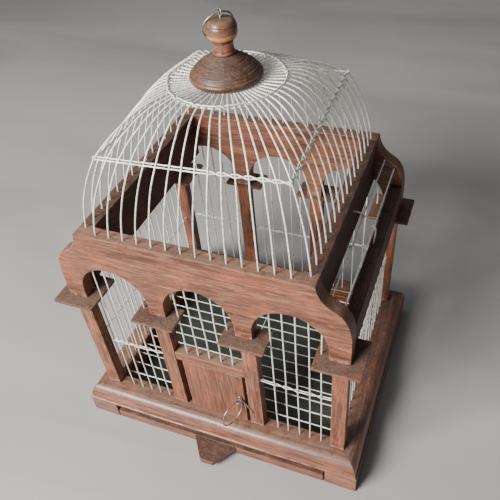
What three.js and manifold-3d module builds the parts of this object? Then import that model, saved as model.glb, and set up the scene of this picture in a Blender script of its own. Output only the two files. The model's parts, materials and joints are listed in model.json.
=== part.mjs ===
// Domed wooden bird cage: a moulded plinth with a slide-out tray, an arcaded cabin and a wire dome.
// Millimetres, +Z up, front towards -Y. The cage's own axis is the Z axis of the inner group.
import * as THREE from "three";
import { mergeVertices } from "three/addons/utils/BufferGeometryUtils.js";
import Module from "manifold-3d";

const wasm = await Module();
wasm.setup();

// ---- Driving dimensions ----
const GAP = 0.3; // air between two pieces that touch
const PLINTH = { width: 300, depth: 250, height: 39.5, fascia: 24, rail: 28.5, ledge: 12.5, groove: 1.5 };
const SLOT = { halfWidth: 119, top: 22 }; // opening for the tray, in the front fascia
const TRAY = { halfWidth: 117, bottom: 1, top: 12.6, barDepth: 18, floor: 4, back: 94 };
const TAB = { backHalf: 23.5, frontHalf: 7, reach: 23, thickness: 7 };
const RUNNER = { width: 8, bottom: 1, length: 188 };
const FLOOR_WIRES = { count: 14, pitch: 13.2, z: 33 };

const COLUMN = { width: 14, front: 107, back: 96, outerX: 125.5, innerX: 42.8 };
const CAPITAL = { bottom: 176, top: 179, front: 120.3, outer: 145.2, size: 41.4 };
const INNER_CAPITAL = { x: 42, back: 94.5 };
const ARCADE = { front: 108.5, thickness: 13, halfTop: 104.5, halfFoot: 134, top: 260.3, footTop: 203 };
const OGEE = { bendX: 120, bendZ: 237.5, hollow: [106, 245.5], swell: 231 }; // hollow above, round below
const ARCH = { radius: 33.3, centreZ: 189.5, pitch: 82.4, sides: 16 };
const TOP_RAIL = { width: 13, bottom: 213 };
const EAVE = { inner: 121.3, outer: 133, top: 210 };

const HEADER = { bottom: 116, top: 127, front: 106.7 };
const DOOR = { left: -29.2, right: 32.7, thickness: 5, pivotX: -27.2, pivotDepth: 8 };
const PIVOT_PIN = { radius: 1, bore: 1.1, sides: 12, endRoom: 1 };
const DOOR_EYE = { x: 28, z: 81, reach: 4.5, radius: 2.3, wire: 0.6 };
const DOOR_RING = { radius: 13.4, wire: 0.7, heading: 70.5, lean: 46.5 }; // degrees from +X, from plumb
const LATCH = { head: 1.6, wire: 0.6, standOff: 1.1, dx: 11.3, dz: -19.4, lift: 2.4 };

const WIRE = 0.7; // radius of the cage's wire
const TIE = 0.9; // radius of a twisted pair of tie wires
const BAY_Y = 103.5; // plane of the front and back bay wires
const SIDE_WIRES = { x: 125.5, count: 15, pitch: 12.4, tieZ: 112 };
const ROOF_WIRES = { upper: [113.5, 239], lower: [123.5, 230.5], crossY: -37 };

const DOME_FEET = { cornerX: 98, cornerY: 97.5, frontY: 103.7, sideX: 98.4, steps: 15 };
// Corners of the twisted tie, from front left round to the right: it isn't quite level or square.
const DOME_TIE = [[-79.5, -82.8, 322.2], [78.3, -78.1, 325.9], [75.1, 86.4, 330.5], [-77, 84, 325]];
const DOME_WIRE = { closing: 0.787, roundness: 0.68, ringZ: 356.6, end: 22, endZ: 356.9, bends: 13 };
const DOME_RING = { radius: 47, z: 358.4 };
const CROWN = { eyeZ: 408, eyeRadius: 2.6, eyeWire: 0.7 };
const HANGING_RING = { radius: 12.5, wire: 0.7, heading: 140, droop: 60 };

const INNER_RAIL_Y = PLINTH.depth / 2 - PLINTH.rail;
const INNER_RAIL_X = PLINTH.width / 2 - PLINTH.rail;
const PANEL_BACK = ARCADE.front - ARCADE.thickness;
const LEDGE_Z = PLINTH.height + GAP;
const MIDDLE_TOP = CAPITAL.top + GAP;

// ---- Materials ----
function finish(color, roughness, metalness) {
  return new THREE.MeshStandardMaterial({ color, roughness, metalness });
}
const WOOD = finish(0x7a4a3a, 0.55, 0);
const DARK_WOOD = finish(0x4a3128, 0.6, 0);
const POLISHED_WOOD = finish(0x85533c, 0.35, 0);
const TRAY_BOARD = finish(0x3c443c, 0.7, 0);
const STEEL = finish(0xb9bab2, 0.4, 0.8);

// ---- Solids ----
// A closed geometry becomes a solid that can be joined and cut.
function solid(geometry) {
  const g = geometry.clone();
  g.deleteAttribute("normal");
  g.deleteAttribute("uv");
  const merged = mergeVertices(g, 1e-4);
  const vertProperties = new Float32Array(merged.attributes.position.array);
  const triVerts = new Uint32Array(merged.index.array);
  return new wasm.Manifold(new wasm.Mesh({ numProp: 3, vertProperties, triVerts }));
}

function geometryOf(body) {
  const mesh = body.getMesh();
  const g = new THREE.BufferGeometry();
  g.setAttribute("position", new THREE.BufferAttribute(new Float32Array(mesh.vertProperties), 3));
  g.setIndex(new THREE.BufferAttribute(new Uint32Array(mesh.triVerts), 1));
  g.computeVertexNormals();
  return g;
}

const join = (bodies) => bodies.reduce((sum, body) => sum.add(body));
const cut = (body, tools) => tools.reduce((rest, tool) => rest.subtract(tool), body);

// A box from its lowest and highest corners.
function block(low, high) {
  const size = high.map((v, i) => v - low[i]);
  const g = new THREE.BoxGeometry(...size);
  g.translate(...low.map((v, i) => v + size[i] / 2));
  return g;
}

// An upright round bar.
function post(x, y, bottom, top, radius, sides = 8) {
  const g = new THREE.CylinderGeometry(radius, radius, top - bottom, sides);
  g.rotateX(Math.PI / 2);
  g.translate(x, y, (bottom + top) / 2);
  return g;
}

// A straight wire between two points.
function straightWire(from, to, radius, sides = 4) {
  const a = new THREE.Vector3(...from);
  const b = new THREE.Vector3(...to);
  const g = new THREE.CylinderGeometry(radius, radius, a.distanceTo(b), sides);
  const along = b.clone().sub(a).normalize();
  g.applyQuaternion(new THREE.Quaternion().setFromUnitVectors(new THREE.Vector3(0, 1, 0), along));
  const middle = a.add(b).multiplyScalar(0.5);
  g.translate(middle.x, middle.y, middle.z);
  return g;
}

// A wire bent along a smooth line through the given points.
function bentWire(points, radius, steps, sides = 4) {
  const section = new THREE.Shape();
  for (let i = 0; i < sides; i++) {
    const a = (2 * Math.PI * i) / sides;
    const at = [radius * Math.cos(a), radius * Math.sin(a)];
    if (i === 0) section.moveTo(...at);
    else section.lineTo(...at);
  }
  const path = new THREE.CatmullRomCurve3(points.map((p) => new THREE.Vector3(...p)));
  return new THREE.ExtrudeGeometry(section, { steps, extrudePath: path, bevelEnabled: false });
}

// A ring of wire round the Z axis.
function wireRing(radius, wire, turns = 24, sides = 6) {
  const profile = [];
  for (let i = 0; i <= sides; i++) {
    const a = (-2 * Math.PI * (i % sides)) / sides;
    profile.push(new THREE.Vector2(radius + wire * Math.cos(a), wire * Math.sin(a)));
  }
  const g = new THREE.LatheGeometry(profile.reverse(), turns);
  g.rotateX(Math.PI / 2);
  return g;
}

// A turned piece: profile points are [radius, height], from the axis back to the axis.
function turned(profile, sides = 28) {
  const g = new THREE.LatheGeometry(profile.map((p) => new THREE.Vector2(...p)), sides);
  g.rotateX(Math.PI / 2);
  return g;
}

// An outline in X and Z, extruded backwards from y = front.
function uprightBoard(shape, front, thickness, curveSegments) {
  const g = new THREE.ExtrudeGeometry(shape, { depth: thickness, bevelEnabled: false, curveSegments });
  g.rotateX(Math.PI / 2);
  g.translate(0, front + thickness, 0);
  return g;
}

// ---- Assembly ----
const cage = new THREE.Group();
cage.position.y = TAB.reach / 2; // the tray's tab sticks out in front, so the origin is under the whole

function place(name, shape, material, parent = cage) {
  const geometry = shape instanceof THREE.BufferGeometry ? shape : geometryOf(shape);
  const mesh = new THREE.Mesh(geometry, material);
  mesh.name = name;
  parent.add(mesh);
  return mesh;
}

// ---- Plinth ----
// Section of a plinth rail: fascia, groove, quarter-round moulding and flat ledge. X is the inset.
function plinthSection() {
  const { height, fascia, rail, ledge, groove } = PLINTH;
  const s = new THREE.Shape();
  s.moveTo(0, 0);
  s.lineTo(0, fascia);
  s.lineTo(groove, fascia + groove);
  s.absellipse(ledge, fascia + groove, ledge - groove, height - fascia - groove, Math.PI, Math.PI / 2, true);
  s.lineTo(rail, height);
  s.lineTo(rail, 0);
  s.closePath();
  return s;
}

// One rail along X in front of the axis, with both ends mitred.
function plinthRail(length, depth) {
  const half = length / 2;
  const drawn = { depth: length, bevelEnabled: false, curveSegments: 6 };
  const bar = new THREE.ExtrudeGeometry(plinthSection(), drawn);
  bar.rotateX(Math.PI / 2);
  bar.rotateZ(Math.PI / 2);
  bar.translate(-half, -depth / 2, 0);
  const margin = 1;
  const mitre = new THREE.Shape();
  mitre.moveTo(-half + GAP - margin, -depth / 2 - margin);
  mitre.lineTo(half - GAP + margin, -depth / 2 - margin);
  mitre.lineTo(half - GAP - PLINTH.rail - margin, -depth / 2 + PLINTH.rail + margin);
  mitre.lineTo(-half + GAP + PLINTH.rail + margin, -depth / 2 + PLINTH.rail + margin);
  mitre.closePath();
  const keep = new THREE.ExtrudeGeometry(mitre, { depth: PLINTH.height + 2 * margin, bevelEnabled: false });
  keep.translate(0, 0, -margin);
  return solid(bar).intersect(solid(keep));
}

function buildPlinth() {
  const long = plinthRail(PLINTH.width, PLINTH.depth);
  const short = plinthRail(PLINTH.depth, PLINTH.width);
  const { halfWidth, top } = SLOT;
  const slot = block([-halfWidth, -PLINTH.depth, -top], [halfWidth, -INNER_RAIL_Y + 1, top]);
  place("plinth_front", long.subtract(solid(slot)), WOOD);
  place("plinth_back", long, WOOD).rotation.z = Math.PI;
  place("plinth_right", short, WOOD).rotation.z = Math.PI / 2;
  place("plinth_left", short, WOOD).rotation.z = -Math.PI / 2;
}

// ---- Tray ----
function buildTray() {
  const front = -PLINTH.depth / 2;
  const barBack = front + TRAY.barDepth;
  const { halfWidth, bottom, top } = TRAY;
  place("tray_front_bar", block([-halfWidth, front, bottom], [halfWidth, barBack, top]), WOOD);
  const floor = block([-halfWidth, barBack + GAP, top - TRAY.floor], [halfWidth, TRAY.back, top]);
  place("tray_floor", floor, TRAY_BOARD);
  const tab = new THREE.Shape();
  tab.moveTo(-TAB.backHalf, front - GAP);
  tab.lineTo(-TAB.frontHalf, front - TAB.reach);
  tab.lineTo(TAB.frontHalf, front - TAB.reach);
  tab.lineTo(TAB.backHalf, front - GAP);
  tab.closePath();
  const pull = new THREE.ExtrudeGeometry(tab, { depth: TAB.thickness, bevelEnabled: false });
  pull.translate(0, 0, top - TAB.thickness);
  place("tray_pull_tab", pull, WOOD);
  const runnerTop = top - TRAY.floor - GAP;
  for (const [side, name] of [[-1, "left"], [1, "right"]]) {
    const near = side * (INNER_RAIL_X - GAP);
    const far = side * (INNER_RAIL_X - GAP - RUNNER.width);
    const [x0, x1] = [Math.min(near, far), Math.max(near, far)];
    const half = RUNNER.length / 2;
    place("tray_runner_" + name, block([x0, -half, RUNNER.bottom], [x1, half, runnerTop]), DARK_WOOD);
  }
}

function buildFloorGrille() {
  const { count, pitch, z } = FLOOR_WIRES;
  const endX = INNER_RAIL_X - GAP;
  const endY = INNER_RAIL_Y - GAP;
  const stayZ = z - 2 * WIRE + 0.3;
  const wires = [solid(straightWire([0, -endY, stayZ], [0, endY, stayZ], WIRE))];
  for (let i = 0; i < count; i++) {
    const y = (i - (count - 1) / 2) * pitch;
    wires.push(solid(straightWire([-endX, y, z], [endX, y, z], WIRE)));
  }
  place("floor_grille", join(wires), STEEL);
}

// ---- Bay wires: where each upright wire of the front and back bays stands ----
const BAYS = [
  { name: "left", first: -102.6, pitch: 11, tieZ: 115, tie: [-118.2, -50.1] },
  { name: "middle", first: -23.4, pitch: 11.7, tieZ: 112, tie: [-35.5, 35.5] },
  { name: "right", first: 64, pitch: 11.1, tieZ: 110, tie: [50.1, 118.2] },
];
const WIRES_PER_BAY = 5;
const bayXs = (bay) => Array.from({ length: WIRES_PER_BAY }, (_, i) => bay.first + i * bay.pitch);

// Height of the arches' underside at x, less the room that a wire's end needs.
function archUnderside(x) {
  const centre = Math.round(x / ARCH.pitch) * ARCH.pitch;
  const off = Math.abs(x - centre) + WIRE;
  return ARCH.centreZ + Math.sqrt(ARCH.radius ** 2 - off ** 2) * Math.cos(Math.PI / ARCH.sides / 2) - GAP;
}

function bayGrille(bay, facing, bottom, withTie) {
  const y = facing * BAY_Y;
  const wires = bayXs(bay).map((x) => solid(straightWire([x, y, bottom], [x, y, archUnderside(x)], WIRE)));
  if (withTie) {
    const [from, to] = bay.tie;
    wires.push(solid(straightWire([from, y, bay.tieZ], [to, y, bay.tieZ], TIE)));
  } else {
    const from = bay.first - WIRE;
    const to = bay.first + (WIRES_PER_BAY - 1) * bay.pitch + WIRE;
    const z = HEADER.top + GAP + WIRE;
    wires.push(solid(straightWire([from, y, z], [to, y, z], WIRE)));
  }
  return join(wires);
}

function buildBayGrilles() {
  for (const bay of BAYS) {
    const overDoor = bay.name === "middle";
    const foot = overDoor ? HEADER.top + GAP : LEDGE_Z;
    place("front_wires_" + bay.name, bayGrille(bay, -1, foot, !overDoor), STEEL);
    place("back_wires_" + bay.name, bayGrille(bay, 1, LEDGE_Z, true), STEEL);
  }
}

// ---- Columns, capitals and arcades ----
function buildColumns() {
  const { width, front, back, outerX, innerX } = COLUMN;
  const half = width / 2;
  for (const [facing, side] of [[-1, "front"], [1, "back"]]) {
    const [y0, y1] = facing < 0 ? [-front, -back] : [back, front];
    [-outerX, -innerX, innerX, outerX].forEach((x, i) => {
      const shaft = block([x - half, y0, LEDGE_Z], [x + half, y1, CAPITAL.bottom - GAP]);
      place(`column_${side}_${i + 1}`, shaft, WOOD);
    });
  }
}

function capitalHoles(x0, x1) {
  const room = WIRE + GAP;
  const holes = [];
  for (const facing of [-1, 1]) {
    for (const x of BAYS.flatMap(bayXs)) {
      const inside = x > x0 - room && x < x1 + room;
      if (inside) holes.push(solid(post(x, facing * BAY_Y, CAPITAL.bottom - 1, CAPITAL.top + 1, room)));
    }
    for (const y of sideYs()) {
      const near = Math.abs(y) > CAPITAL.front - CAPITAL.size;
      if (near) holes.push(solid(post(-SIDE_WIRES.x, y, CAPITAL.bottom - 1, CAPITAL.top + 1, room)));
      if (near) holes.push(solid(post(SIDE_WIRES.x, y, CAPITAL.bottom - 1, CAPITAL.top + 1, room)));
    }
  }
  return holes;
}

function buildCapitals() {
  const { bottom, top, front, outer, size } = CAPITAL;
  const { x: middle, back: innerBack } = INNER_CAPITAL;
  const spans = [
    [-outer, -outer + size, front - size],
    [-middle - size / 2, -middle + size / 2, innerBack],
    [middle - size / 2, middle + size / 2, innerBack],
    [outer - size, outer, front - size],
  ];
  for (const [facing, side] of [[-1, "front"], [1, "back"]]) {
    spans.forEach(([x0, x1, back], i) => {
      const [y0, y1] = facing < 0 ? [-front, -back] : [back, front];
      const board = solid(block([x0, y0, bottom], [x1, y1, top]));
      place(`capital_${side}_${i + 1}`, cut(board, capitalHoles(x0, x1)), WOOD);
    });
  }
}

// Outline of an arcade: level top, ogee shoulders, four legs and three round arches.
function arcadeShape() {
  const { halfTop, halfFoot, top, footTop } = ARCADE;
  const { bendX, bendZ, hollow, swell } = OGEE;
  const foot = MIDDLE_TOP;
  const s = new THREE.Shape();
  s.moveTo(-halfTop, top);
  s.quadraticCurveTo(-hollow[0], hollow[1], -bendX, bendZ);
  s.quadraticCurveTo(-halfFoot, swell, -halfFoot, footTop);
  s.lineTo(-halfFoot, foot);
  for (const centre of [-ARCH.pitch, 0, ARCH.pitch]) {
    s.lineTo(centre - ARCH.radius, foot);
    s.lineTo(centre - ARCH.radius, ARCH.centreZ);
    s.absarc(centre, ARCH.centreZ, ARCH.radius, Math.PI, 0, true);
    s.lineTo(centre + ARCH.radius, foot);
  }
  s.lineTo(halfFoot, foot);
  s.lineTo(halfFoot, footTop);
  s.quadraticCurveTo(halfFoot, swell, bendX, bendZ);
  s.quadraticCurveTo(hollow[0], hollow[1], halfTop, top);
  s.closePath();
  return s;
}

function buildArcades() {
  const panel = uprightBoard(arcadeShape(), -ARCADE.front, ARCADE.thickness, ARCH.sides / 2);
  place("arcade_front", solid(panel), WOOD);
  place("arcade_back", solid(panel), WOOD).rotation.z = Math.PI;
}

function buildRails() {
  const end = PANEL_BACK - GAP;
  const { halfTop, top } = ARCADE;
  for (const [side, name] of [[-1, "left"], [1, "right"]]) {
    const span = (a, b) => [Math.min(side * a, side * b), Math.max(side * a, side * b)];
    const [r0, r1] = span(halfTop - TOP_RAIL.width, halfTop);
    place("top_rail_" + name, block([r0, -end, TOP_RAIL.bottom], [r1, end, top]), DARK_WOOD);
    const [e0, e1] = span(EAVE.inner, EAVE.outer);
    place("eave_rail_" + name, block([e0, -end, MIDDLE_TOP], [e1, end, EAVE.top]), DARK_WOOD);
  }
}

// ---- Side wires and the wires of the open roof over each side aisle ----
function sideYs() {
  const { count, pitch } = SIDE_WIRES;
  return Array.from({ length: count }, (_, i) => (i - (count - 1) / 2) * pitch);
}

function buildSideWires() {
  const { x, tieZ } = SIDE_WIRES;
  const endY = COLUMN.back - GAP;
  for (const [side, name] of [[-1, "left"], [1, "right"]]) {
    const at = side * x;
    const wires = sideYs().map((y) => solid(straightWire([at, y, LEDGE_Z], [at, y, CAPITAL.top], WIRE)));
    wires.push(solid(straightWire([at, -endY, tieZ], [at, endY, tieZ], TIE)));
    place("side_wires_" + name, join(wires), STEEL);
  }
}

function buildRoofWires() {
  const end = PANEL_BACK - GAP;
  const { upper, lower, crossY } = ROOF_WIRES;
  const railFace = ARCADE.halfTop + GAP;
  const bend = [
    [railFace, 0, upper[1] + 5],
    [upper[0] - 3, 0, upper[1] + 3],
    [upper[0] + 0.8, 0, upper[1] + 0.8],
    [upper[0] + 6, 0, upper[1] - 2],
    [lower[0] + 0.9, 0, lower[1] + 0.7],
    [lower[0] + 3, 0, lower[1] - 8],
    [lower[0] + 3.8, 0, EAVE.top + GAP],
  ];
  for (const [side, name] of [[-1, "left"], [1, "right"]]) {
    const long = [upper, lower].map(([x, z]) => straightWire([side * x, -end, z], [side * x, end, z], WIRE));
    const cross = straightWire(
      [side * (upper[0] - 1.2), crossY, upper[1] + 1],
      [side * (lower[0] + 1.2), crossY, lower[1] - 1],
      WIRE,
    );
    const over = bentWire(bend.map(([x, y, z]) => [side * x, y, z]), WIRE, 12);
    place("roof_wires_" + name, join([...long, cross, over].map(solid)), STEEL);
  }
}

// ---- Door ----
const DOOR_MIDDLE_Y = -COLUMN.front + DOOR.thickness / 2;

function pivotBar(bottom, top, radius) {
  return solid(post(DOOR.pivotX, DOOR_MIDDLE_Y, bottom, top, radius, PIVOT_PIN.sides));
}

// A pin across the gap at z, hidden in a blind hole on each side of it.
function placePivot(name, gapBottom, gapTop) {
  const { radius, endRoom } = PIVOT_PIN;
  const reach = DOOR.pivotDepth - endRoom;
  place(name, pivotBar(gapBottom - reach, gapTop + reach, radius), STEEL);
}

function buildDoor() {
  const { bottom, top, front } = HEADER;
  const { left, right, thickness, pivotDepth } = DOOR;
  const face = -COLUMN.front;
  const edge = COLUMN.innerX - COLUMN.width / 2 - GAP;
  const doorTop = bottom - 2 * GAP;
  const doorBottom = LEDGE_Z + GAP;
  const pinHoles = [
    pivotBar(PLINTH.height - pivotDepth, doorBottom + pivotDepth, PIVOT_PIN.bore),
    pivotBar(doorTop - pivotDepth, bottom + pivotDepth, PIVOT_PIN.bore),
  ];
  const bore = [face - 1, face + thickness + 1].map((y) => [DOOR_EYE.x, y, DOOR_EYE.z]);
  const eyeHole = straightWire(...bore, DOOR_EYE.wire + GAP);
  const header = solid(block([-edge, -front, bottom], [edge, -COLUMN.back, top]));
  place("door_header", cut(header, pinHoles), WOOD);
  const panel = solid(block([left, face, doorBottom], [right, face + thickness, doorTop]));
  place("door_panel", cut(panel, [...pinHoles, solid(eyeHole)]), WOOD);
  const rail = cage.getObjectByName("plinth_front");
  rail.geometry = geometryOf(cut(solid(rail.geometry), pinHoles));
  placePivot("door_pivot_lower", PLINTH.height, doorBottom);
  placePivot("door_pivot_upper", doorTop, bottom);
}

// The door's furniture hangs on a screw eye near the free edge.
function buildDoorFurniture() {
  const { x, z, reach, radius, wire } = DOOR_EYE;
  const face = -COLUMN.front;
  const eye = new THREE.Vector3(x, face - reach, z);
  const loop = wireRing(radius, wire, 16);
  loop.translate(eye.x, eye.y, eye.z);
  const shank = straightWire([x, face + DOOR.thickness, z], [x, face - reach + radius, z], wire);
  place("door_screw_eye", solid(loop).add(solid(shank)), STEEL);

  const heading = THREE.MathUtils.degToRad(DOOR_RING.heading);
  const lean = THREE.MathUtils.degToRad(DOOR_RING.lean);
  const inPlane = new THREE.Vector3(-Math.cos(heading), -Math.sin(heading), 0);
  const toCentre = inPlane.multiplyScalar(Math.sin(lean)).add(new THREE.Vector3(0, 0, -Math.cos(lean)));
  const ring = wireRing(DOOR_RING.radius, DOOR_RING.wire, 28);
  ring.rotateX(Math.PI / 2);
  ring.rotateZ(heading);
  const mesh = place("door_pull_ring", ring, STEEL);
  mesh.position.copy(eye).add(toCentre.multiplyScalar(DOOR_RING.radius));
}

// The latch turns on the eye's shank, and its end lies in front of the column beside the door.
function buildLatch() {
  const { head, wire, standOff, dx, dz, lift } = LATCH;
  const start = [DOOR_EYE.x, -COLUMN.front - standOff, DOOR_EYE.z];
  const loop = wireRing(head, wire, 14);
  loop.rotateX(Math.PI / 2);
  loop.translate(...start);
  const length = Math.hypot(dx, dz);
  const along = (distance, out) => [start[0] + (dx * distance) / length, start[1] - out,
    start[2] + (dz * distance) / length];
  const arm = straightWire(along(head, 0), along(length, 0), wire);
  const tip = straightWire(along(length - wire, 0), along(length + lift / 2, lift), wire);
  place("door_latch_hook", join([loop, arm, tip].map(solid)), STEEL);
}

// ---- Dome ----
// The feet of one side's wires, from its first corner on. Side 0 is the front, side 1 the right one.
function domeFeet(side) {
  const { cornerX, cornerY, frontY, sideX, steps } = DOME_FEET;
  const across = side % 2 === 0;
  const sign = side === 0 || side === 3 ? -1 : 1;
  const way = side < 2 ? 1 : -1;
  const feet = [];
  for (let i = 0; i < steps; i++) {
    const run = way * ((2 * i) / steps - 1);
    const corner = i === 0;
    const x = across ? run * cornerX : sign * (corner ? cornerX : sideX);
    const y = across ? sign * (corner ? cornerY : frontY) : run * cornerY;
    feet.push(new THREE.Vector3(x, y, ARCADE.top + GAP));
  }
  return feet;
}

// A dome wire leans in from its foot to the square tie, and runs on over the round ring towards the finial.
function domeWire(foot, tie) {
  const { closing, roundness, ringZ, end, endZ } = DOME_WIRE;
  const points = [];
  const full = 1 / Math.sqrt(1 - closing ** 2);
  for (const share of [0, 0.28, 0.54, 0.76, 1]) {
    const round = (1 - Math.sqrt(1 - (share / full) ** 2)) / (1 - closing);
    const inward = share + (round - share) * roundness;
    points.push([foot.x + (tie.x - foot.x) * inward, foot.y + (tie.y - foot.y) * inward,
      foot.z + (tie.z - foot.z) * share]);
  }
  const reach = Math.hypot(foot.x, foot.y);
  const [ux, uy] = [foot.x / reach, foot.y / reach];
  const ring = [ux * DOME_RING.radius, uy * DOME_RING.radius];
  for (const [share, out] of [[0.4, 0.76], [0.72, 0.5], [0.9, 0.25], [1, 0]]) {
    points.push([ring[0] + (tie.x - ring[0]) * out, ring[1] + (tie.y - ring[1]) * out,
      tie.z + (ringZ - tie.z) * share]);
  }
  points.push([ux * end, uy * end, endZ]);
  return bentWire(points, WIRE, DOME_WIRE.bends);
}

function buildDome() {
  const { steps } = DOME_FEET;
  ["front", "right", "back", "left"].forEach((name, side) => {
    const from = new THREE.Vector3(...DOME_TIE[side]);
    const to = new THREE.Vector3(...DOME_TIE[(side + 1) % DOME_TIE.length]);
    const wires = domeFeet(side).map((foot, i) => solid(domeWire(foot, from.clone().lerp(to, i / steps))));
    const along = to.clone().sub(from).normalize();
    const outward = new THREE.Vector3(along.y, -along.x, 0).multiplyScalar(WIRE / 2);
    const start = from.clone().addScaledVector(along, -WIRE).add(outward);
    const finish = to.clone().addScaledVector(along, -2 * TIE - GAP).add(outward);
    wires.push(solid(straightWire(start.toArray(), finish.toArray(), TIE)));
    place("dome_" + name, join(wires), STEEL);
  });
  const ring = wireRing(DOME_RING.radius, WIRE, 32);
  ring.translate(0, 0, DOME_RING.z);
  place("dome_ring", ring, STEEL);
}

// ---- Finial, screw eye and hanging ring ----
const DISC_PROFILE = [
  [0, 358.2], [27.8, 358.2], [28.8, 359.2], [29.3, 360.9], [28.9, 362.6], [27.6, 363.9], [25, 365.9],
  [21, 368.9], [16.5, 372.2], [12, 375.4], [9.4, 377.6], [0, 377.6],
];
const KNOB_PROFILE = [
  [0, 377.9], [8.9, 377.9], [8.3, 380], [7.8, 383.4], [8.1, 387], [9.4, 388.4], [11, 390.4], [11.8, 393],
  [11.9, 396], [11.5, 399.4], [10, 402.3], [7.4, 403.7], [0, 404],
];
const KNOB_TOP = 404;

function buildFinial() {
  place("finial_disc", turned(DISC_PROFILE), DARK_WOOD);
  const { eyeZ, eyeRadius, eyeWire } = CROWN;
  const shankFoot = KNOB_TOP - 6;
  const hole = solid(post(0, 0, shankFoot - GAP, KNOB_TOP + 1, eyeWire + GAP));
  place("finial_knob", solid(turned(KNOB_PROFILE)).subtract(hole), POLISHED_WOOD);

  const heading = THREE.MathUtils.degToRad(HANGING_RING.heading);
  const eye = wireRing(eyeRadius, eyeWire, 14);
  eye.rotateX(Math.PI / 2);
  eye.rotateZ(heading);
  eye.translate(0, 0, eyeZ);
  const shank = post(0, 0, shankFoot, eyeZ - eyeRadius, eyeWire);
  place("crown_screw_eye", solid(eye).add(solid(shank)), STEEL);

  const droop = THREE.MathUtils.degToRad(HANGING_RING.droop);
  const hanging = wireRing(HANGING_RING.radius, HANGING_RING.wire, 28);
  hanging.translate(HANGING_RING.radius, 0, 0);
  hanging.rotateY(droop);
  hanging.rotateZ(heading);
  hanging.translate(0, 0, eyeZ);
  place("hanging_ring", hanging, STEEL);
}

buildPlinth();
buildTray();
buildFloorGrille();
buildColumns();
buildCapitals();
buildArcades();
buildRails();
buildBayGrilles();
buildSideWires();
buildRoofWires();
buildDoor();
buildDoorFurniture();
buildLatch();
buildDome();
buildFinial();

export default cage;
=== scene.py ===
"""Looks of a domed bird cage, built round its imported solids. Metres, +Z up, front towards -Y."""

import json
import math

import bmesh
import bpy
from mathutils import Matrix, Vector, noise

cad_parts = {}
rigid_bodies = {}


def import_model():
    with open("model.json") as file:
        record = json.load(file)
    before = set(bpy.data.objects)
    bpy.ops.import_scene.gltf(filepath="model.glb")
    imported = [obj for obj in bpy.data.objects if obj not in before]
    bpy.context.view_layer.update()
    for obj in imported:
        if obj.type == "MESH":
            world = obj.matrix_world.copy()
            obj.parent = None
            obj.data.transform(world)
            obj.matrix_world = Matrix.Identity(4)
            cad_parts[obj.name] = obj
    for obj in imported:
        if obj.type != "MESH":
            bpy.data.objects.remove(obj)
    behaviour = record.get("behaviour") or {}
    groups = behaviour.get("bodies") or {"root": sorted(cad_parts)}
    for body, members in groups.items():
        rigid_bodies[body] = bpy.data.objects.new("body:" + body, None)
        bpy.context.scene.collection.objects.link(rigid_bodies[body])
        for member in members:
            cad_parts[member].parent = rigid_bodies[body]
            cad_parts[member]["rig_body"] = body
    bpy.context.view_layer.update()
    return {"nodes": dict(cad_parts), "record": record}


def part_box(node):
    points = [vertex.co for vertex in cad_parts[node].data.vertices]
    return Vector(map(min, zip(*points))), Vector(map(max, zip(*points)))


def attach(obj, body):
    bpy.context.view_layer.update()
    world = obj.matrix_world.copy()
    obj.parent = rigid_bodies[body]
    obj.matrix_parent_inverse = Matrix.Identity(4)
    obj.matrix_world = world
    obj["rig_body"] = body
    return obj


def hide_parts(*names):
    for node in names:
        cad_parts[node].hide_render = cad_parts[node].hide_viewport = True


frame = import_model()

MM = 0.001
UP, ACROSS, ALONG = 2, 0, 1  # the frame's axes: Z, X and Y
SLOT_OF = {part["node"]: part["material_slot"] for part in frame["record"]["subparts"]}

# The cage's own axis, which the tray's tab pushes back from the middle of the whole box.
AXIS_Y = sum(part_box("finial_knob")[i].y for i in (0, 1)) / 2
AXIS = Vector((0, AXIS_Y, 0))

WIRE = 0.7 * MM  # radius of the cage's wire
DOME_RADIUS = 0.72 * MM  # radius of the dome's wire, which is a little stouter
STRAND = 0.5 * MM  # radius of each strand of a twisted tie
SINK = 3 * MM  # how far a wire's foot goes into its hole


# ---- small sums
def low(node):
    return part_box(node)[0]


def high(node):
    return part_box(node)[1]


def centre(node):
    return (low(node) + high(node)) / 2


def ripple(where, scale, offset=0.0):
    """Smooth noise from -1 to 1 at a place in metres; scale is its length in metres."""
    return noise.noise(Vector(where) / scale + Vector((offset, 1.7 * offset, -0.6 * offset)))


def frame_axes(along):
    """Two directions square to a given one."""
    side = along.orthogonal().normalized()
    return side, along.cross(side)


def seed_of(name):
    """A fixed number for each piece's name, so that no two pieces are worn alike."""
    return sum((i + 1) * ord(c) for i, c in enumerate(name)) % 997 * 0.37


def mix(a, b, t):
    return a + (b - a) * t


def mixed(first, second, t):
    return tuple(mix(a, b, t) for a, b in zip(first, second))


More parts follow.
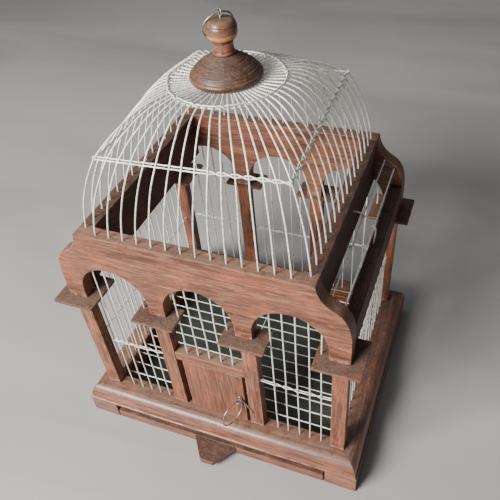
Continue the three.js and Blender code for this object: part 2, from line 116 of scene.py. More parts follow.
# ---- materials
class Nodes:
    """A material and short ways to add nodes to it."""

    def __init__(self, name):
        self.material = bpy.data.materials.new(name)
        self.material.use_nodes = True
        self.tree = self.material.node_tree
        self.shader = self.tree.nodes["Principled BSDF"]

    def add(self, kind, settings=None, *values, **inputs):
        """A new node; values go to its first sockets, inputs to the sockets they name."""
        node = self.tree.nodes.new("ShaderNode" + kind)
        for key, value in (settings or {}).items():
            setattr(node, key, value)
        for socket, value in [*enumerate(values), *inputs.items()]:
            self.feed(node, socket, value)
        return node

    def feed(self, node, socket, value):
        if isinstance(value, bpy.types.NodeSocket):
            self.tree.links.new(value, node.inputs[socket])
        else:
            node.inputs[socket].default_value = value

    def math(self, operation, a, b=0.0, clamp=False):
        return self.add("Math", {"operation": operation, "use_clamp": clamp}, a, b).outputs[0]

    def times(self, first, *others):
        """The product of several masks or numbers."""
        for other in others:
            first = self.math("MULTIPLY", first, other)
        return first

    def ramp(self, value, low_end, high_end, to_low=0.0, to_high=1.0):
        node = self.add("MapRange", {"clamp": True}, value, low_end, high_end, to_low, to_high)
        return node.outputs[0]

    def blend(self, factor, a, b):
        node = self.add("Mix", {"data_type": "RGBA"}, factor)
        for socket, colour in ((6, a), (7, b)):
            self.feed(node, socket, colour if isinstance(colour, bpy.types.NodeSocket) else (*colour, 1))
        return node.outputs[2]

    def layered(self, base, layers):
        """The base colour under layers, each a mask and the shade that it lays on."""
        for share, shade in layers:
            base = self.blend(share, base, shade)
        self.feed(self.shader, "Base Color", base)

    def wear(self):
        return self.add("Attribute", {"attribute_name": "wear"}).outputs["Fac"]

    def noise(self, vector, scale, detail=3.0, roughness=0.55, distortion=0.0):
        node = self.add("TexNoise", Vector=vector, Scale=scale, Detail=detail,
                        Roughness=roughness, Distortion=distortion)
        return node.outputs["Fac"]

    def stretched(self, vector, factors):
        return self.add("VectorMath", {"operation": "MULTIPLY"}, vector, factors).outputs[0]

    def coords(self):
        return self.add("TexCoord").outputs["Object"]

    def place(self):
        """The place on the piece, moved by a different amount for each piece."""
        shift = self.math("MULTIPLY", self.add("ObjectInfo").outputs["Random"], 9.0)
        return self.add("VectorMath", {"operation": "ADD"}, self.coords(), shift).outputs[0]

    def turning(self):
        """Rings round the cage's axis, as the turning tool leaves them."""
        x, y, z = self.add("SeparateXYZ", Vector=self.coords()).outputs
        off_axis = self.math("SUBTRACT", y, AXIS_Y)
        squares = self.math("POWER", x, 2.0), self.math("POWER", off_axis, 2.0)
        radius = self.math("SQRT", self.math("ADD", *squares))
        node = self.add("CombineXYZ", X=radius, Y=z)
        return self.noise(node.outputs[0], 700.0, 2.0, 0.6)

    def height(self):
        return self.add("SeparateXYZ", Vector=self.coords()).outputs["Z"]

    def facing_up(self):
        normal = self.add("NewGeometry").outputs["Normal"]
        return self.add("SeparateXYZ", Vector=normal).outputs["Z"]

    def bump(self, height, strength, distance):
        node = self.add("Bump", Height=height, Strength=strength, Distance=distance)
        self.feed(self.shader, "Normal", node.outputs[0])


GRAIN_STRETCH = {ACROSS: (1.0, 24.0, 24.0), ALONG: (24.0, 1.0, 24.0), UP: (24.0, 24.0, 1.0)}
BARE_WOOD, WORN_EDGE, CHIPPED_FOOT = (1, 0.66, 0.48), (0.36, 0.20, 0.14), (0.50, 0.35, 0.26)
DUST_SPECK = (0.85, 0.70, 0.58)
FOOT_WEAR = 6 * MM  # how far up a foot its stain is knocked off
HOOP_BLUR, RAGGED_EDGE = 0.5 * MM, 4 * MM


def wood(name, grain, dark, light, warm, gloss=0.5, dust=0.7, dust_colour=(0.20, 0.155, 0.115),
         warm_share=0.6, figure=1.0, grit=0.0, turned_bands=0.0, hoops=(), bare_foot=None):
    """Stained timber: streaks along the grain, warm patches, bare edges, and dust on what faces up.

    figure is the strength of the grain, and grit that of the fine roughness of a varnished face. hoops are
    bands of another colour round the knob; a dark one in a groove is painted shade. bare_foot is the height
    of a foot whose stain is knocked off.
    """
    n = Nodes(name)
    place = n.place()
    along = n.stretched(place, GRAIN_STRETCH[grain])
    broad = n.noise(n.stretched(along, (0.35, 0.35, 0.35)), 6.0, 3.0)
    streaks = n.noise(along, 11.0, 5.0, 0.65, 0.35)
    pale = n.noise(along, 17.0, 4.0, 0.7, 0.2)
    fibres = n.noise(along, 48.0, 3.0, 0.7)
    pores = n.noise(place, 1300.0, 2.0, 0.6)
    flecks = n.noise(n.stretched(along, (0.5, 0.5, 0.5)), 90.0, 3.0, 0.75)
    patches = n.noise(place, 30.0, 4.0, 0.7)
    black = (0, 0, 0)
    layers = [
        (n.ramp(patches, 0.50, 0.64, 0.0, warm_share), warm),
        (n.ramp(pale, 0.50, 0.68, 0.0, figure), light),
        (n.ramp(flecks, 0.54, 0.66, 0.0, 0.75 * figure), mixed(light, BARE_WOOD, 0.2)),
        (n.ramp(broad, 0.35, 0.60, 0.35, 0.0), dark),
        (n.ramp(flecks, 0.42, 0.32, 0.0, 0.8 * figure), mixed(dark, black, 0.35)),
        (n.ramp(fibres, 0.44, 0.30, 0.0, 0.8 * figure), mixed(dark, black, 0.7)),
        (n.ramp(pores, 0.42, 0.30, 0.0, 0.5), mixed(dark, black, 0.55)),
    ]
    if turned_bands:
        layers.append((n.ramp(n.turning(), 0.48, 0.62, 0.0, turned_bands), mixed(dark, black, 0.4)))
    ragged = n.times(n.math("SUBTRACT", n.noise(place, 150.0, 3.0, 0.7), 0.5), RAGGED_EDGE)
    height = n.math("ADD", n.height(), ragged)
    # Bands round the knob; the dark one in the groove under the ball is painted shade.
    for lowest, highest, shade, strength in hoops:
        bottom, top = (low("finial_knob").z + level * MM for level in (lowest, highest))
        above = n.ramp(height, bottom - HOOP_BLUR, bottom + HOOP_BLUR)
        below = n.ramp(height, top + HOOP_BLUR, top - HOOP_BLUR)
        layers.append((n.times(above, below, strength), shade))
    patchy = n.ramp(n.noise(place, 95.0, 4.0, 0.75), 0.46, 0.62)
    layers.append((n.times(n.wear(), patchy, 0.55), WORN_EDGE))
    if bare_foot is not None:
        knocked = n.ramp(height, bare_foot, bare_foot + FOOT_WEAR, 1.0, 0.0)
        chips = n.ramp(n.noise(place, 230.0, 3.0, 0.7), 0.46, 0.58)
        layers.append((n.times(knocked, chips, 0.75), CHIPPED_FOOT))
    # Dust on what faces up; a near-black dust colour, as on the tray, makes this painted shade instead.
    drift = n.ramp(n.noise(place, 55.0, 5.0, 0.7), 0.34, 0.62, 0.35, 1.0)
    settled = n.times(n.ramp(n.facing_up(), 0.35, 0.92), drift, dust)
    lying = n.ramp(settled, 0.1, 0.5)
    stains = n.ramp(n.noise(place, 105.0, 5.0, 0.8), 0.49, 0.62, 0.0, 0.85)
    specks = n.ramp(n.noise(place, 560.0, 4.0, 0.85), 0.54, 0.70, 0.0, 0.55)
    layers += [(settled, dust_colour), (n.times(stains, lying), mixed(dust_colour, dark, 0.8)),
               (n.times(specks, lying), mixed(dust_colour, DUST_SPECK, 0.28))]
    n.layered(n.blend(n.ramp(streaks, 0.36, 0.56), dark, mixed(dark, light, 0.45)), layers)
    rough = n.ramp(streaks, 0.3, 0.7, mix(0.62, 0.24, gloss), mix(0.80, 0.40, gloss))
    rough = n.math("ADD", rough, n.ramp(flecks, 0.40, 0.60, -0.08, 0.14))
    rough = n.math("ADD", rough, n.times(settled, 0.3), clamp=True)
    n.feed(n.shader, "Roughness", rough)
    n.feed(n.shader, "Coat Weight", 0.35 * gloss ** 2)
    n.feed(n.shader, "Coat Roughness", 0.22)
    relief = n.math("ADD", n.times(fibres, 0.7), n.times(pores, 0.3))
    relief = n.math("ADD", relief, n.times(flecks, 0.8 * figure))
    if grit:
        relief = n.math("ADD", relief, n.times(n.noise(place, 620.0, 3.0, 0.7), grit))
    n.bump(relief, 0.6, 0.35 * MM)
    return n.material


def wire_steel(name, pale=(0.97, 0.96, 0.89), dull=(0.60, 0.59, 0.52), metallic=0.2, rough=0.36):
    """Galvanised wire, spangled and stained."""
    n = Nodes(name)
    place = n.place()
    spangle = n.noise(place, 420.0, 3.0, 0.7)
    stain = n.noise(place, 45.0, 4.0, 0.6)
    n.layered(n.blend(n.ramp(spangle, 0.35, 0.60), dull, pale),
              [(n.ramp(stain, 0.60, 0.74, 0.0, 0.6), (0.26, 0.21, 0.15))])
    n.feed(n.shader, "Metallic", metallic)
    n.feed(n.shader, "Roughness", n.ramp(spangle, 0.3, 0.7, rough - 0.1, rough + 0.15))
    n.bump(spangle, 0.4, 0.1 * MM)
    return n.material


def tray_paint(name):
    """Dark grey-green paint on a board, scuffed and dusty."""
    n = Nodes(name)
    place = n.place()
    scuffs = n.noise(n.stretched(place, (1.0, 5.0, 5.0)), 60.0, 4.0, 0.7)
    blotches = n.noise(place, 22.0, 4.0, 0.6)
    specks = n.noise(place, 380.0, 2.0, 0.7)
    n.layered(n.blend(n.ramp(blotches, 0.35, 0.65), (0.028, 0.036, 0.030), (0.060, 0.072, 0.060)),
              [(n.ramp(scuffs, 0.55, 0.75, 0.0, 0.5), (0.12, 0.13, 0.11)),
               (n.ramp(specks, 0.66, 0.74, 0.0, 0.6), (0.24, 0.23, 0.19)),
               (n.times(n.wear(), 0.5), (0.16, 0.12, 0.09))])
    n.feed(n.shader, "Roughness", n.ramp(scuffs, 0.3, 0.7, 0.55, 0.8))
    n.bump(scuffs, 0.4, 0.3 * MM)
    return n.material


PINK, RED, ORANGE = (0.350, 0.140, 0.080), (0.074, 0.023, 0.013), (0.390, 0.112, 0.040)


def stained(depth, **more):
    """One of the cage's three stains, lighter or darker."""
    return dict(dark=tuple(c * depth for c in RED), light=tuple(c * depth for c in PINK),
                warm=tuple(c * depth for c in ORANGE), **more)


# Bands round the knob, in millimetres above its foot, each with its colour and strength; the first, dark one
# is painted shade in the groove under the ball.
KNOB_BANDS_AND_GROOVE_SHADE = ((8.6, 10.2, (0.055, 0.026, 0.017), 0.75), (11.8, 15.2, (0.62, 0.24, 0.09), 0.85),
              (15.4, 20.4, (0.20, 0.10, 0.065), 0.5), (20.6, 21.5, (0.06, 0.03, 0.02), 0.85),
              (21.8, 30, (0.14, 0.08, 0.052), 0.65))
TIMBER = {
    "plinth_wood": stained(1.2, gloss=1.0, dust=0.75, warm_share=0.4, grit=0.9,
                           dust_colour=(0.14, 0.09, 0.066)),
    # The tray's dust colour is nearly black, so its wood turns almost black where it faces up: painted
    # shade, where the bar's top lies in the slot's shadow.
    "tray_wood": stained(1.1, gloss=0.6, dust=0.95, warm_share=0.4, dust_colour=(0.032, 0.020, 0.015)),
    "column_wood": stained(1.08, gloss=0.6, warm_share=0.8, bare_foot=low("column_front_1").z),
    "capital_wood": stained(0.70, gloss=0.4, dust=0.9, dust_colour=(0.110, 0.072, 0.052)),
    "arcade_wood": stained(1.04, gloss=0.6, bare_foot=low("arcade_front").z,
                           dust_colour=(0.19, 0.13, 0.095)),
    "rail_wood": stained(0.42, gloss=0.3, dust=0.7, dust_colour=(0.075, 0.046, 0.033)),
    "door_wood": stained(1.30, gloss=0.55, warm_share=0.35, figure=0.45),
    "disc_wood": stained(0.66, gloss=0.75, dust=0.85, dust_colour=(0.100, 0.070, 0.052), turned_bands=0.75),
    "knob_wood": stained(1.3, gloss=1.0, dust=0.3, warm_share=0.9, turned_bands=0.6, hoops=KNOB_BANDS_AND_GROOVE_SHADE),
}
MADE = {}


def material_for(slot, grain=ACROSS):
    """The slot's material with its grain along the given axis, made once."""
    key = (slot, grain)
    if key not in MADE:
        name = f"{slot}_{'XYZ'[grain]}"
        if slot in TIMBER:
            MADE[key] = wood(name, grain, **TIMBER[slot])
        elif slot == "tray_board":
            MADE[key] = tray_paint(name)
        elif slot == "fittings":
            MADE[key] = wire_steel(name, (0.52, 0.50, 0.44), (0.20, 0.19, 0.16), 0.8, 0.36)
        else:
            MADE[key] = wire_steel(name)
    return MADE[key]


# ---- pieces
def stand_for(piece, *nodes, grain=ACROSS):
    """The piece takes the place, the body and the finish of the solids that it stands for."""
    piece.data.materials.append(material_for(SLOT_OF[nodes[0]], grain))
    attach(piece, frame["nodes"][nodes[0]]["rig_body"])
    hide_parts(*nodes)
    return piece


def quads(count, first):
    """The faces between a closed row of points, from number first on, and the next row."""
    faces = []
    for i in range(count):
        a, b = first + i, first + (i + 1) % count
        faces.append([a, b, b + count, a + count])
    return faces


def linked(name, data):
    """A new object in the scene."""
    made = bpy.data.objects.new(name, data)
    bpy.context.scene.collection.objects.link(made)
    return made


def mesh_piece(name, points, faces, wear=None, smooth_below=35):
    mesh = bpy.data.meshes.new(name)
    mesh.from_pydata([tuple(p) for p in points], [], faces)
    if wear is not None:
        mesh.attributes.new("wear", "FLOAT", "POINT").data.foreach_set("value", wear)
    bm = bmesh.new()
    bm.from_mesh(mesh)
    bmesh.ops.recalc_face_normals(bm, faces=bm.faces)
    bm.to_mesh(mesh)
    bm.free()
    mesh.polygons.foreach_set("use_smooth", [True] * len(mesh.polygons))
    mesh.set_sharp_from_angle(angle=math.radians(smooth_below))
    return linked(name, mesh)


def refined(outline, step):
    """The outline with its long edges split, so that wear can vary along them."""
    points = []
    for i, a in enumerate(outline):
        b = outline[(i + 1) % len(outline)]
        parts = max(1, round(math.dist(a, b) / step))
        points += [(mix(a[0], b[0], k / parts), mix(a[1], b[1], k / parts)) for k in range(parts)]
    return points


def signed_area(outline):
    return sum(a[0] * b[1] - b[0] * a[1] for a, b in zip(outline, outline[1:] + outline[:1])) / 2


def inset(outline, distances):
    """Each point of a counter-clockwise outline moved inwards by its own distance."""
    moved = []
    count = len(outline)
    for i, p in enumerate(outline):
        before, after = outline[i - 1], outline[(i + 1) % count]
        normals = []
        for a, b in ((before, p), (p, after)):
            length = math.dist(a, b) or 1e-9
            normals.append(((a[1] - b[1]) / length, (b[0] - a[0]) / length))
        nx, ny = normals[0][0] + normals[1][0], normals[0][1] + normals[1][1]
        size = nx * nx + ny * ny
        reach = 2 * distances[i] / size if size > 0.5 else distances[i]
        moved.append((p[0] + nx * reach, p[1] + ny * reach))
    return moved


WEAR_FADE = 0.9 * MM
CHIP_LENGTH, ROUGH_LENGTH = 5 * MM, 9 * MM  # how long the chips and the waves of a worn edge are
CORNER_TURN = math.radians(40)  # sharper turns than this get a broken corner
CORNER_CUT = 0.7 * MM


def corner_flags(outline):
    """Whether each point of a counter-clockwise outline is an outward corner."""
    flags = []
    count = len(outline)
    for i, p in enumerate(outline):
        before, after = outline[i - 1], outline[(i + 1) % count]
        first = math.atan2(p[1] - before[1], p[0] - before[0])
        second = math.atan2(after[1] - p[1], after[0] - p[0])
        flags.append((second - first + math.pi) % math.tau - math.pi > CORNER_TURN)
    return flags


def ringed(outline, distances, flags):
    """The outline moved inwards, with each flagged corner cut by two points."""
    moved = inset(outline, distances)
    points = []
    count = len(moved)
    for i, p in enumerate(moved):
        if not flags[i]:
            points.append(p)
            continue
        cut = max(0.12 * MM, CORNER_CUT - 0.6 * distances[i])
        for other in (moved[i - 1], moved[(i + 1) % count]):
            share = cut / math.dist(p, other)
            points.append((mix(p[0], other[0], share), mix(p[1], other[1], share)))
    return points


def doubled(values, flags):
    """The values with each flagged corner's given twice."""
    points = []
    for value, corner in zip(values, flags):
        points += [value] * (1 + corner)
    return points


def slab(name, outline, thickness_axis, bottom, top, edge=0.55 * MM, step=4 * MM):
    """A board with worn edges. The outline lies across thickness_axis, in that plane's X, Y, Z order."""
    if signed_area(outline) < 0:
        outline = outline[::-1]
    outline = refined(outline, step)
    flags = corner_flags(outline)
    seed = seed_of(name)

    def at(point, depth):
        place = list(point)
        place.insert(thickness_axis, depth)
        return Vector(place)

    points, wear, loops = [], [], 0
    for face, way in ((bottom, 1), (top, -1)):
        worn = []
        for point in outline:
            rough = 0.75 + 0.5 * ripple(at(point, face), ROUGH_LENGTH, seed)
            chip = max(0.0, ripple(at(point, face), CHIP_LENGTH, seed + 31) - 0.35) * 1.6
            worn.append(edge * (rough + chip))
        faded = [w + WEAR_FADE for w in worn]
        eased = [0.3 * w for w in worn]
        none = [0.0] * len(worn)
        steps = [(faded, none, 0.0), (worn, none, 1.0), (eased, eased, 1.0), (none, worn, 1.0),
                 (none, faded, 0.0)]
        for inwards, depths, bare in steps[::way]:
            places = ringed(outline, inwards, flags)
            points += [at(p, face + way * d) for p, d in zip(places, doubled(depths, flags))]
            wear += [bare] * len(places)
            loops += 1
    count = len(points) // loops
    faces = [list(range(count))[::-1], [(loops - 1) * count + i for i in range(count)]]
    for k in range(loops - 1):
        faces += quads(count, k * count)
    return mesh_piece(name, points, faces, wear)


def rectangle(x0, x1, y0, y1):
    return [(x0, y0), (x1, y0), (x1, y1), (x0, y1)]


def timber(node, thickness_axis, grain, edge=0.55 * MM, holes=(), depth=4 * MM):
    """A straight length of timber that fills its solid's box, drilled where wires stand in it."""
    lo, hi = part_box(node)
    u, v = [a for a in (0, 1, 2) if a != thickness_axis]
    outline = rectangle(lo[u], hi[u], lo[v], hi[v])
    piece = slab(node + "_worn", outline, thickness_axis, lo[thickness_axis], hi[thickness_axis], edge)
    if holes:
        drill(piece, holes, depth)
    return stand_for(piece, node, grain=grain)


HOLE_RADIUS = 1.05 * MM


def drill(piece, holes, depth=4 * MM):
    """Cuts upright round holes; each is given by the place of its mouth."""
    points, faces, sides = [], [], 10
    for x, y, z in holes:
        first = len(points)
        for height in (z - depth, z + 1 * MM):
            for i in range(sides):
                a = math.tau * i / sides
                points.append((x + HOLE_RADIUS * math.cos(a), y + HOLE_RADIUS * math.sin(a), height))
        faces.append([first + i for i in range(sides)][::-1])
        faces.append([first + sides + i for i in range(sides)])
        faces += quads(sides, first)
    subtract(piece, mesh_piece("drill_bits", points, faces))


def subtract(piece, tool):
    modifier = piece.modifiers.new("cut", "BOOLEAN")
    modifier.operation = "DIFFERENCE"
    modifier.solver = "EXACT"
    modifier.object = tool
    evaluated = piece.evaluated_get(bpy.context.evaluated_depsgraph_get())
    cut = bpy.data.meshes.new_from_object(evaluated)
    piece.modifiers.clear()
    cut.name = piece.data.name
    piece.data = cut
    cut.set_sharp_from_angle(angle=math.radians(35))
    bpy.data.objects.remove(tool)


def turned(node, profile, rings=96):
    """A piece turned about the cage's axis, from its profile's radii and heights in metres."""
    points, faces = [], []
    middle = centre(node)
    for radius, height in profile[1:-1]:
        for i in range(rings):
            a = math.tau * i / rings
            wobble = radius * (1 + 0.004 * ripple((math.cos(a), math.sin(a), height * 40), 0.9))
            points.append((middle.x + wobble * math.cos(a), middle.y + wobble * math.sin(a), height))
    rows = len(profile) - 2
    for k in range(rows - 1):
        faces += quads(rings, k * rings)
    for row, height in ((0, profile[0][1]), (rows - 1, profile[-1][1])):
        points.append((middle.x, middle.y, height))
        hub = len(points) - 1
        faces += [[row * rings + i, row * rings + (i + 1) % rings, hub] for i in range(rings)]
    return mesh_piece(node + "_turned", points, faces, smooth_below=50)


def smoothed(points, per_span):
    """A smooth line through the points."""
    line = []
    padded = [2 * points[0] - points[1], *points, 2 * points[-1] - points[-2]]
    for a, b, c, d in zip(padded, padded[1:], padded[2:], padded[3:]):
        for k in range(per_span):
            t = k / per_span
            line.append(0.5 * (2 * b + (c - a) * t + (2 * a - 5 * b + 4 * c - d) * t * t
                               + (3 * b - a - 3 * c + d) * t ** 3))
    return [*line, points[-1]]


def wires(name, lines, closed=False):
    """One object of many wires; lines are (points, radius)."""
    data = bpy.data.curves.new(name, "CURVE")
    data.dimensions = "3D"
    data.bevel_depth = 1.0
    data.bevel_resolution = 2
    data.use_fill_caps = True
    for points, radius in lines:
        spline = data.splines.new("POLY")
        spline.points.add(len(points) - 1)
        spline.use_cyclic_u = closed
        spline.use_smooth = True
        for knot, place in zip(spline.points, points):
            knot.co = (*place, 1)
            knot.radius = radius
    return linked(name, data)


def nearly_straight(start, end, seed, bow=0.5 * MM, steps=14):
    """A wire that was straightened by hand."""
    start, end = Vector(start), Vector(end)
    along = (end - start).normalized()
    side, other = frame_axes(along)
    line = []
    for k in range(steps + 1):
        t = k / steps
        free = math.sin(math.pi * t)
        here = start.lerp(end, t)
        drift = ripple((t * 2.1, seed, 0.3), 1.0), ripple((t * 2.1, seed, 7.9), 1.0)
        line.append(here + (side * drift[0] + other * drift[1]) * bow * 2 * min(1.0, 3 * free))
    return line


def twisted(start, end, normal, crossings, strand=STRAND, wire=WIRE, crossed=1.0, sag=0.0, seed=0.0,
            per_gap=12, plain=()):
    """Two strands that hold uprights between them, one in front of each and one behind.

    crossings are the distances along the tie at which uprights stand, crossed is the share of the gaps in
    which the strands change sides, and plain are the numbers of the gaps in which they never do.
    """
    start, end, normal = Vector(start), Vector(end), Vector(normal).normalized()
    along = (end - start).normalized()
    across = along.cross(normal)
    length = (end - start).length
    apart, tight = wire + strand, 0.95 * strand
    stops = [0.0, *crossings, length]
    last = len(stops) - 2
    strands = ([], [])
    phase = 0.0
    for gap, (a, b) in enumerate(zip(stops, stops[1:])):
        crosses = gap not in plain and 0.5 + 0.5 * math.sin(2.4 * gap + seed) < crossed
        closeness = 1.0 if crosses else 0.35
        for k in range(per_gap + (gap == last)):
            t = k / per_gap
            at = mix(a, b, t)
            hold = max(0.0 if gap == 0 else 1 - t * (b - a) / (3.6 * MM),
                       0.0 if gap == last else 1 - (1 - t) * (b - a) / (3.6 * MM), 0.0)
            spread = mix(mix(apart, tight, closeness), apart, hold ** 0.8)
            ease = t - math.sin(math.tau * t) / math.tau
            angle = phase + math.pi * crosses * ease
            middle = start + along * at - Vector((0, 0, 1)) * sag * 4 * (at / length) * (1 - at / length)
            middle += across * 0.25 * MM * ripple((at, seed, 0.1), 14 * MM)
            offset = (normal * math.cos(angle) + across * math.sin(angle)) * spread
            strands[0].append(middle + offset)
            strands[1].append(middle - offset)
        phase += math.pi * crosses
    return [(strands[0], strand), (strands[1], strand)]


HOLD = WIRE + STRAND  # a strand's distance from the wire that it holds


# ---- plinth
FASCIA, RAIL = 24 * MM, 28.5 * MM
OVOLO_IN = 12.5 * MM
GROOVE = 1.5 * MM
OVOLO_STEPS = 12
MITRE_GAP = 0.15 * MM
DENT_DEPTH = 0.5 * MM
RAIL_STATIONS = 75
SLOT_CLEARANCE = 1.7 * MM


def plinth_profile():
    """Inset, height and wear round the rail's section, from its bottom edge over the moulding."""
    top = high("plinth_back").z
    profile = [(0.9 * MM, 0, 0.6), (0, 0.9 * MM, 0.6), (0, 2.2 * MM, 0), (0, FASCIA - 2 * MM, 0),
               (0, FASCIA - 0.6 * MM, 1), (0.5 * MM, FASCIA, 1), (GROOVE - 0.2 * MM, FASCIA + 0.2 * MM, 0.2)]
    radius_in, radius_up = OVOLO_IN - GROOVE, top - FASCIA - GROOVE
    for k in range(OVOLO_STEPS + 1):
        a = math.pi / 2 * k / OVOLO_STEPS
        height = FASCIA + GROOVE + radius_up * math.sin(a)
        profile.append((OVOLO_IN - radius_in * math.cos(a), height, 0.35 if k == OVOLO_STEPS else 0))
    profile += [(OVOLO_IN + 1 * MM, top - 0.25 * MM, 0.5), (OVOLO_IN + 2.2 * MM, top, 0.2),
                (RAIL - 1.5 * MM, top, 0), (RAIL - 0.6 * MM, top, 0.8), (RAIL, top - 0.6 * MM, 0.8),
                (RAIL, top - 1.8 * MM, 0), (RAIL, 0, 0)]
    return profile


def plinth_rail(node, turn, length, depth):
    """A mitred length of moulding along X, turned about the cage's axis into its place."""
    profile = plinth_profile()
    seed = seed_of(node)
    points, wear, faces = [], [], []
    spin = Matrix.Rotation(turn, 4, "Z")
    for s in range(RAIL_STATIONS + 1):
        t = 2 * s / RAIL_STATIONS - 1
        for inward, height, bare in profile:
            x = t * (length / 2 - inward - MITRE_GAP)
            place = Vector((x, inward - depth / 2, height))
            knock = max(0, ripple(place, 11 * MM, seed + 9) - 0.2)
            dent = bare * (0.35 * ripple(place, 6 * MM, seed) + 0.3 * knock)
            swell = 0.12 * ripple((x, height, 0), 30 * MM, seed)
            place.y += (dent + swell) * DENT_DEPTH
            place.z -= abs(dent) * DENT_DEPTH
            points.append(spin @ place + AXIS)
            wear.append(bare)
    count = len(profile)
    for s in range(RAIL_STATIONS):
        faces += quads(count, s * count)
    faces.append(list(range(count)))
    faces.append([RAIL_STATIONS * count + i for i in range(count)])
    return mesh_piece(node + "_moulding", points, faces, wear, smooth_below=30)


def build_plinth():
    width = high("plinth_right").x - low("plinth_left").x
    depth = high("plinth_back").y - low("plinth_front").y
    top = high("plinth_back").z
    quarter = math.pi / 2
    rails = {
        "plinth_front": (0, [(x, BAY_Y["front"]) for bay in ("left", "right") for x in bay_xs(bay)]),
        "plinth_right": (quarter, [(SIDE_X, y) for y in side_ys()]),
        "plinth_back": (2 * quarter, [(x, BAY_Y["back"]) for bay in BAYS for x in bay_xs(bay)]),
        "plinth_left": (-quarter, [(-SIDE_X, y) for y in side_ys()]),
    }
    for node, (turn, feet) in rails.items():
        across = node in ("plinth_front", "plinth_back")
        length, span = (width, depth) if across else (depth, width)
        rail = plinth_rail(node, turn, length, span)
        if node == "plinth_front":
            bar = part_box("tray_front_bar")
            left, right = bar[0].x - SLOT_CLEARANCE, bar[1].x + SLOT_CLEARANCE
            slot = rectangle(left, right, -10 * MM, TRAY_SLOT_TOP)
            reach = (bar[0].y - 20 * MM, bar[0].y + 2 * RAIL)
            subtract(rail, slab("slot_tool", slot, ALONG, *reach, 0.01 * MM))
        drill(rail, [(x, y, top) for x, y in feet])
        stand_for(rail, node, grain=ACROSS if across else ALONG)


# ---- tray and floor
TRAY_SLOT_TOP = 22 * MM
TAB_NOSE = 7 * MM  # half the width of the pull tab's tip
FLOOR_WIRES, FLOOR_PITCH = 14, 13.2 * MM


def build_tray():
    timber("tray_front_bar", ALONG, ACROSS)
    timber("tray_floor", UP, ACROSS)
    for side in ("left", "right"):
        timber("tray_runner_" + side, ACROSS, ALONG)
    lo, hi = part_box("tray_pull_tab")
    half = (hi.x - lo.x) / 2
    shape = [(-half, hi.y), (-TAB_NOSE, lo.y), (TAB_NOSE, lo.y), (half, hi.y)]
    tab = slab("tray_pull_tab_worn", shape, UP, lo.z, hi.z, 0.7 * MM)
    stand_for(tab, "tray_pull_tab", grain=ACROSS)


def build_floor_grille():
    lo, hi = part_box("floor_grille")
    top = hi.z - WIRE
    lines = []
    for i in range(FLOOR_WIRES):
        y = AXIS_Y + (i - (FLOOR_WIRES - 1) / 2) * FLOOR_PITCH
        ends = (lo.x - SINK, y, top), (hi.x + SINK, y, top)
        lines.append((nearly_straight(*ends, i + 3, 0.35 * MM), WIRE))
    stay = top - 2 * WIRE
    ends = (0, lo.y - SINK, stay), (0, hi.y + SINK, stay)
    lines.append((nearly_straight(*ends, 40, 0.2 * MM), WIRE))
    stand_for(wires("floor_wires", lines), "floor_grille")


# ---- columns, capitals and arcades
def build_columns():
    for side in ("front", "back"):
        for i in range(1, 5):
            timber(f"column_{side}_{i}", ALONG, UP)


def build_capitals():
    for side in ("front", "back"):
        for i in range(1, 5):
            node = f"capital_{side}_{i}"
            lo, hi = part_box(node)
            xs = [x for bay in BAYS for x in bay_xs(bay) if lo.x < x < hi.x]
            timber(node, UP, ACROSS, 0.6 * MM, [(x, BAY_Y[side], hi.z) for x in xs], hi.z - lo.z + 1 * MM)


ARCH_RADIUS, ARCH_PITCH, SPRING_Z = 33.3 * MM, 82.4 * MM, 189.5 * MM
HALF_TOP = 104.5 * MM
BEND = (120 * MM, 237.5 * MM)  # where the ogee turns from hollow to round
HOLLOW, SWELL_Z, FOOT_TOP = (106 * MM, 245.5 * MM), 231 * MM, 203 * MM
ARCH_STEPS = 28


def curve_to(start, control, end, steps=10):
    """Points of a quadratic curve, without its start."""
    points = []
    for k in range(1, steps + 1):
        t = k / steps
        shares = (1 - t) ** 2, 2 * t * (1 - t), t * t
        points.append(tuple(sum(w * v for w, v in zip(shares, place)) for place in zip(start, control, end)))
    return points


def arcade_outline(lo, hi):
    """The board's outline in X and Z, symmetrical about the middle."""
    foot, top = lo.z, hi.z
    half_foot = hi.x
    shoulder = [(HALF_TOP, top)]
    shoulder += curve_to(shoulder[-1], HOLLOW, BEND)
    shoulder += curve_to(BEND, (half_foot, SWELL_Z), (half_foot, FOOT_TOP))
    outline = [*shoulder, (half_foot, foot)]
    for middle in (ARCH_PITCH, 0.0, -ARCH_PITCH):
        outline.append((middle + ARCH_RADIUS, foot))
        for k in range(ARCH_STEPS + 1):
            a = math.pi * k / ARCH_STEPS
            outline.append((middle + ARCH_RADIUS * math.cos(a), SPRING_Z + ARCH_RADIUS * math.sin(a)))
        outline.append((middle - ARCH_RADIUS, foot))
    outline.append((-half_foot, foot))
    outline += [(-x, z) for x, z in reversed(shoulder)]
    return outline


def build_arcades():
    for side in ("front", "back"):
        node = "arcade_" + side
        lo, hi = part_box(node)
        board = slab(node + "_sawn", arcade_outline(lo, hi), ALONG, lo.y, hi.y, 0.6 * MM, 3.5 * MM)
        drill(board, [foot for foot in dome_feet() if lo.y < foot.y < hi.y])
        stand_for(board, node, grain=ACROSS)


def build_rails():
    for side in ("left", "right"):
        node = "top_rail_" + side
        lo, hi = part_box(node)
        outline = rectangle(lo.y - 0.2 * MM, hi.y + 0.2 * MM, lo.z, hi.z)
        rail = slab(node + "_worn", outline, ACROSS, lo.x, hi.x)
        drill(rail, [foot for foot in dome_feet() if lo.x < foot.x < hi.x and lo.y < foot.y < hi.y])
        stand_for(rail, node, grain=ALONG)
        timber("eave_rail_" + side, ACROSS, ALONG)


